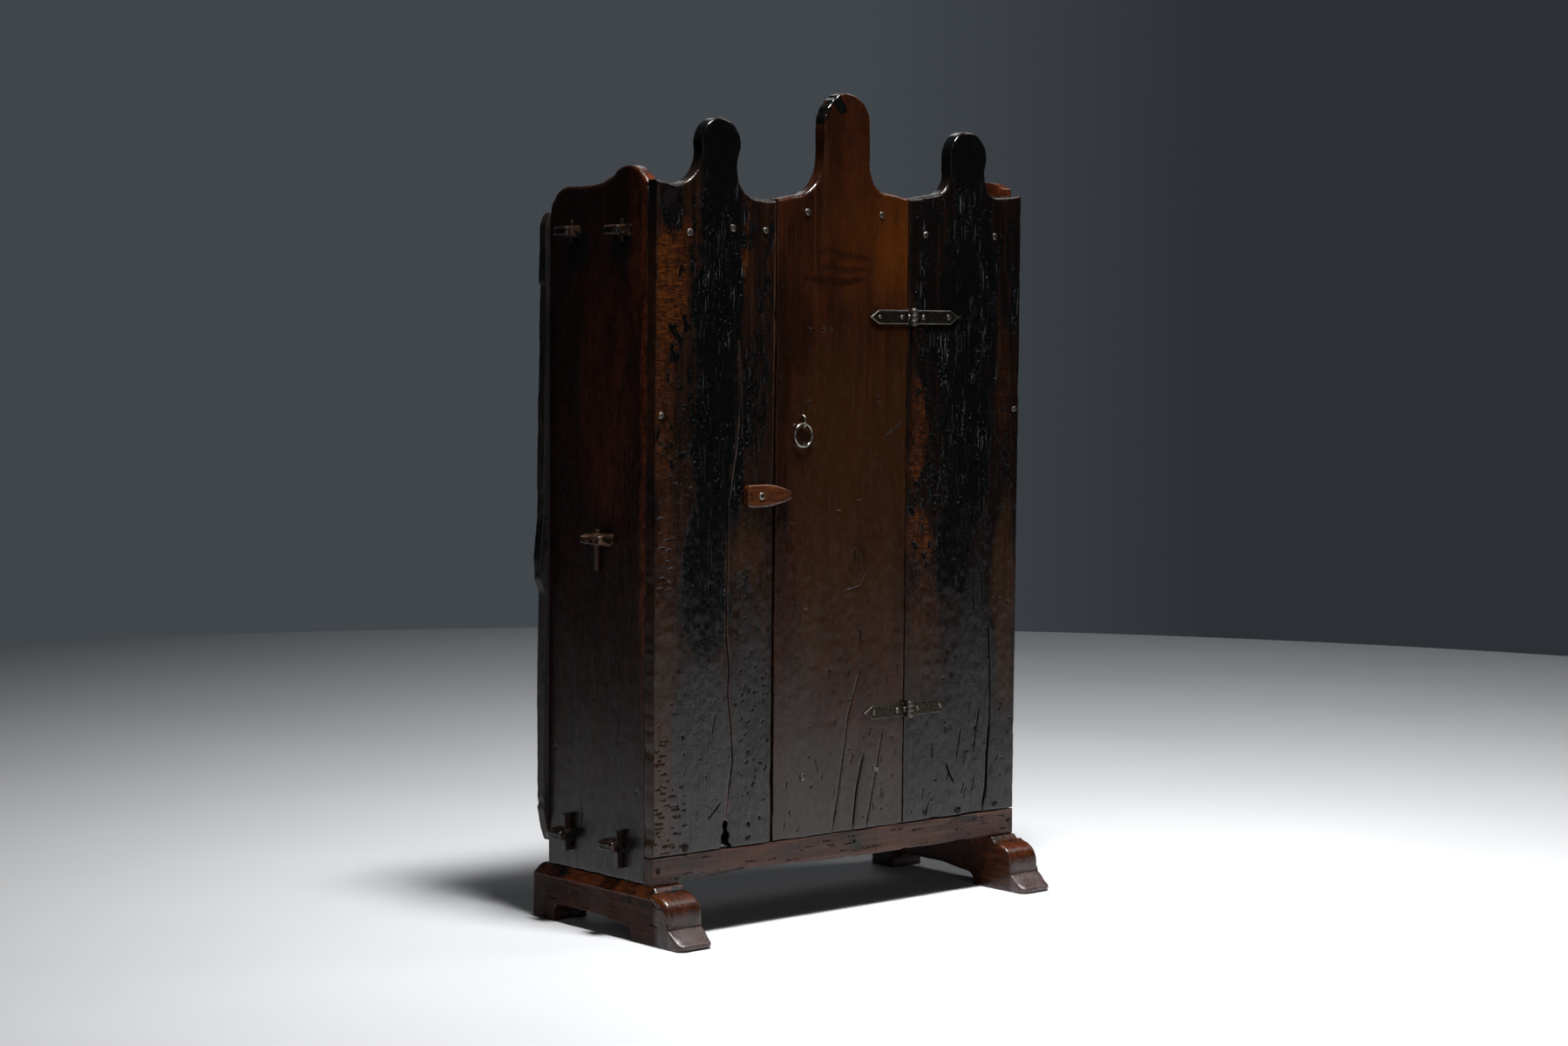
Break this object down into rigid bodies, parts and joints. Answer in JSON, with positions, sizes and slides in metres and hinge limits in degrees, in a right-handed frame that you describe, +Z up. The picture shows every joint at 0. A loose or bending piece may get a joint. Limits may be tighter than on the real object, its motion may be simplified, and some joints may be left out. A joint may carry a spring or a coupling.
{
  "type": "boarded cabinet",
  "caption": "Tall boarded cabinet with a hinged door, shaped board tops, keyed through tenons, a ring pull, a turn button and sledge feet with rolled noses.",
  "frame": {"origin": "on the floor, under the middle of the cabinet's bounding box", "axes": "+X to the right seen from the front, +Y from the front to the back, +Z up"},
  "size_m": [0.908, 0.4, 1.41],
  "materials": {
    "board_wood": "old waxed oak, dark and worn",
    "side_wood": "old waxed oak, dark",
    "apron_wood": "open-grained waxed oak",
    "foot_wood": "waxed oak, glossy",
    "shelf_wood": "waxed oak",
    "back_wood": "sawn oak, matt",
    "key_wood": "whittled oak",
    "button_wood": "waxed oak, worn glossy",
    "hinge_iron": "dark wrought iron, edges worn bright",
    "nail_iron": "hand-forged iron",
    "pull_steel": "bright worn steel"
  },
  "bodies": {
    "case": {"left_side_panel": "side_wood", "right_side_panel": "side_wood", "top_board": "shelf_wood", "middle_shelf": "shelf_wood", "bottom_shelf": "shelf_wood", "top_tenon_keys": "key_wood", "middle_tenon_keys": "key_wood", "bottom_tenon_keys": "key_wood", "front_board_left": "board_wood", "front_board_right": "board_wood", "apron": "apron_wood", "back_board_left": "back_wood", "back_board_centre": "back_wood", "back_board_right": "back_wood", "left_foot": "foot_wood", "right_foot": "foot_wood", "left_foot_pegs": "key_wood", "right_foot_pegs": "key_wood", "front_board_nails": "nail_iron", "apron_nails": "nail_iron", "back_board_nails": "nail_iron", "upper_hinge_case_leaf": "hinge_iron", "lower_hinge_case_leaf": "hinge_iron", "upper_hinge_pin": "hinge_iron", "lower_hinge_pin": "hinge_iron", "hinge_nails_case": "nail_iron", "turn_button_washer": "pull_steel", "turn_button_screw": "pull_steel"},
    "door": {"door_board": "board_wood", "door_batten_top": "shelf_wood", "door_batten_bottom": "shelf_wood", "door_nails": "nail_iron", "upper_hinge_door_leaf": "hinge_iron", "lower_hinge_door_leaf": "hinge_iron", "hinge_nails_door": "nail_iron", "ring_staple": "pull_steel"},
    "ring": {"pull_ring": "pull_steel"},
    "button": {"turn_button": "button_wood"}
  },
  "joints": [
    {"name": "door_swing", "type": "hinge", "parent": "case", "child": "door", "pos_m": [0.1495, -0.1184, 0.6865], "axis": [0, 0, 1], "range_deg": [0, 160]},
    {"name": "ring_swing", "type": "hinge", "parent": "door", "child": "ring", "pos_m": [-0.1025, -0.1154, 0.849], "axis": [-1, 0, 0], "range_deg": [0, 160]},
    {"name": "button_turn", "type": "hinge", "parent": "case", "child": "button", "pos_m": [-0.201, -0.1174, 0.73], "axis": [0, 1, 0], "continuous": true}
  ]
}
